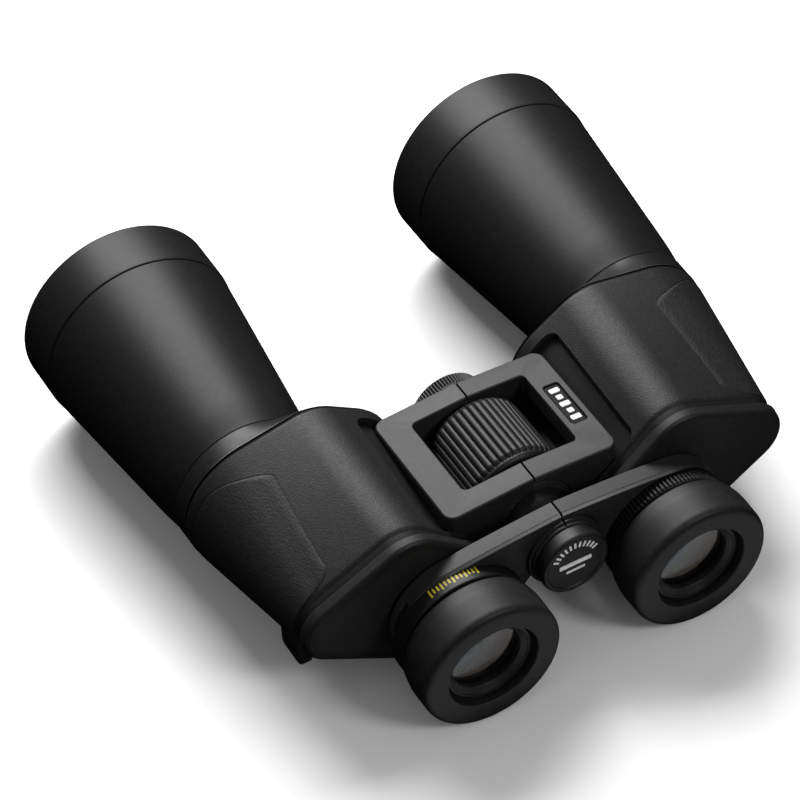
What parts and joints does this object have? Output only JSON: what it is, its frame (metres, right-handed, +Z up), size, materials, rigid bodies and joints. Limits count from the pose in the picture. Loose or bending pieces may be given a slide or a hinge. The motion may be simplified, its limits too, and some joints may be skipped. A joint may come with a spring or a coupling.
{
  "type": "binoculars",
  "caption": "Porro-prism binoculars with a folding bridge, a ribbed centre focus wheel, a dioptre ring, twist-up rubber eyecups and long tapered barrels.",
  "frame": {"origin": "centre of the bounding box in plan, on the surface the binoculars lie on", "axes": "+Y forwards along the optical axes to the objectives, +X to the user's right, +Z up"},
  "size_m": [0.1952, 0.179, 0.0649],
  "materials": {
    "armour": "fine pebbled",
    "pad": "coarse pebbled",
    "casting": "cast, dark anodised",
    "cover": "satin",
    "collar": "smooth satin",
    "barrel": "fine satin texture",
    "frame": "satin grey",
    "inner_plastic": "matt",
    "ring": "satin",
    "eyecup": "smooth matt",
    "wheel": "semi-gloss",
    "badge": "gloss",
    "steel": "turned",
    "brass": "turned",
    "lens_glass": "coated",
    "prism_glass": "polished"
  },
  "bodies": {
    "left_half": {"left_armour": "armour", "left_grip_pad": "pad", "left_prism_housing": "casting", "left_rear_cover": "cover", "left_front_collar": "collar", "left_strap_lug": "cover", "left_prism_shelf": "casting", "left_rear_prism": "prism_glass", "left_front_prism": "prism_glass", "left_barrel": "barrel", "left_objective_ring": "barrel", "left_objective_cell": "casting", "left_objective_retainer": "inner_plastic", "left_crown_lens": "lens_glass", "left_flint_lens": "lens_glass", "left_bridge_frame": "frame", "hinge_tube": "steel", "hinge_collar": "collar", "rear_thrust_washer": "brass", "front_thrust_washer": "brass", "tripod_socket": "brass"},
    "right_half": {"right_armour": "armour", "right_grip_pad": "pad", "right_prism_housing": "casting", "right_rear_cover": "cover", "right_front_collar": "collar", "right_strap_lug": "cover", "right_prism_shelf": "casting", "right_rear_prism": "prism_glass", "right_front_prism": "prism_glass", "right_barrel": "barrel", "right_objective_ring": "barrel", "right_objective_cell": "casting", "right_objective_retainer": "inner_plastic", "right_crown_lens": "lens_glass", "right_flint_lens": "lens_glass", "right_bridge_frame": "frame", "badge_plate": "badge"},
    "focus_wheel": {"focus_wheel": "wheel", "wheel_core": "inner_plastic"},
    "left_eyepiece": {"left_eyepiece_arm": "frame", "focus_rod": "steel", "end_cap": "ring", "left_plain_ring": "ring", "left_ocular_tube": "casting", "left_eye_lens": "lens_glass", "left_field_lens": "lens_glass", "left_eye_retainer": "inner_plastic"},
    "left_twist_ring": {"left_twist_ring": "inner_plastic"},
    "left_eyecup": {"left_eyecup": "eyecup"},
    "right_arm": {"right_eyepiece_arm": "frame"},
    "right_eyepiece": {"right_ocular_tube": "casting", "right_eye_lens": "lens_glass", "right_field_lens": "lens_glass", "right_eye_retainer": "inner_plastic"},
    "dioptre_ring": {"dioptre_ring": "ring"},
    "right_twist_ring": {"right_twist_ring": "inner_plastic"},
    "right_eyecup": {"right_eyecup": "eyecup"},
    "cap_stud": {"cap_stud": "steel"},
    "tripod_cap": {"tripod_cap": "wheel"}
  },
  "joints": [
    {"name": "interpupillary_hinge", "type": "hinge", "parent": "left_half", "child": "right_half", "pos_m": [0, 0, 0.03405], "axis": [0, 1, 0], "range_deg": [-2, 45]},
    {"name": "focus_turn", "type": "hinge", "parent": "left_half", "child": "focus_wheel", "pos_m": [0, 0, 0.03405], "axis": [0, 1, 0], "range_deg": [-30, 510]},
    {"name": "left_focus_slide", "type": "slide", "parent": "left_half", "child": "left_eyepiece", "axis": [0, -1, 0], "range_m": [-0.0005, 0.0085]},
    {"name": "right_focus_slide", "type": "slide", "parent": "right_half", "child": "right_arm", "axis": [0, -1, 0], "range_m": [-0.0005, 0.0085]},
    {"name": "dioptre_slide", "type": "slide", "parent": "right_arm", "child": "right_eyepiece", "axis": [0, -1, 0], "range_m": [-0.001, 0.001]},
    {"name": "dioptre_turn", "type": "hinge", "parent": "right_eyepiece", "child": "dioptre_ring", "pos_m": [0.0352, 0, 0.0227], "axis": [0, 1, 0], "range_deg": [-60, 60]},
    {"name": "cap_slide", "type": "slide", "parent": "left_half", "child": "cap_stud", "axis": [0, 1, 0], "range_m": [0, 0.00762]},
    {"name": "cap_turn", "type": "hinge", "parent": "cap_stud", "child": "tripod_cap", "pos_m": [0, 0, 0.03405], "axis": [0, 1, 0], "range_deg": [0, 2160]},
    {"name": "left_twist_turn", "type": "hinge", "parent": "left_eyepiece", "child": "left_twist_ring", "pos_m": [-0.0352, 0, 0.0227], "axis": [0, 1, 0], "range_deg": [0, 120]},
    {"name": "left_eyecup_slide", "type": "slide", "parent": "left_twist_ring", "child": "left_eyecup", "axis": [0, -1, 0], "range_m": [0, 0.008]},
    {"name": "right_twist_turn", "type": "hinge", "parent": "right_eyepiece", "child": "right_twist_ring", "pos_m": [0.0352, 0, 0.0227], "axis": [0, 1, 0], "range_deg": [0, 120]},
    {"name": "right_eyecup_slide", "type": "slide", "parent": "right_twist_ring", "child": "right_eyecup", "axis": [0, -1, 0], "range_m": [0, 0.008]}
  ],
  "couplings": [
    {"joint": "focus_turn", "follows": "left_focus_slide", "rad_per_m": 1047.2},
    {"joint": "right_focus_slide", "follows": "left_focus_slide", "ratio": 1},
    {"joint": "dioptre_turn", "follows": "dioptre_slide", "rad_per_m": 1047.2},
    {"joint": "left_twist_turn", "follows": "left_eyecup_slide", "rad_per_m": 261.79},
    {"joint": "right_twist_turn", "follows": "right_eyecup_slide", "rad_per_m": 261.79},
    {"joint": "cap_turn", "follows": "cap_slide", "rad_per_m": 4947.3}
  ]
}
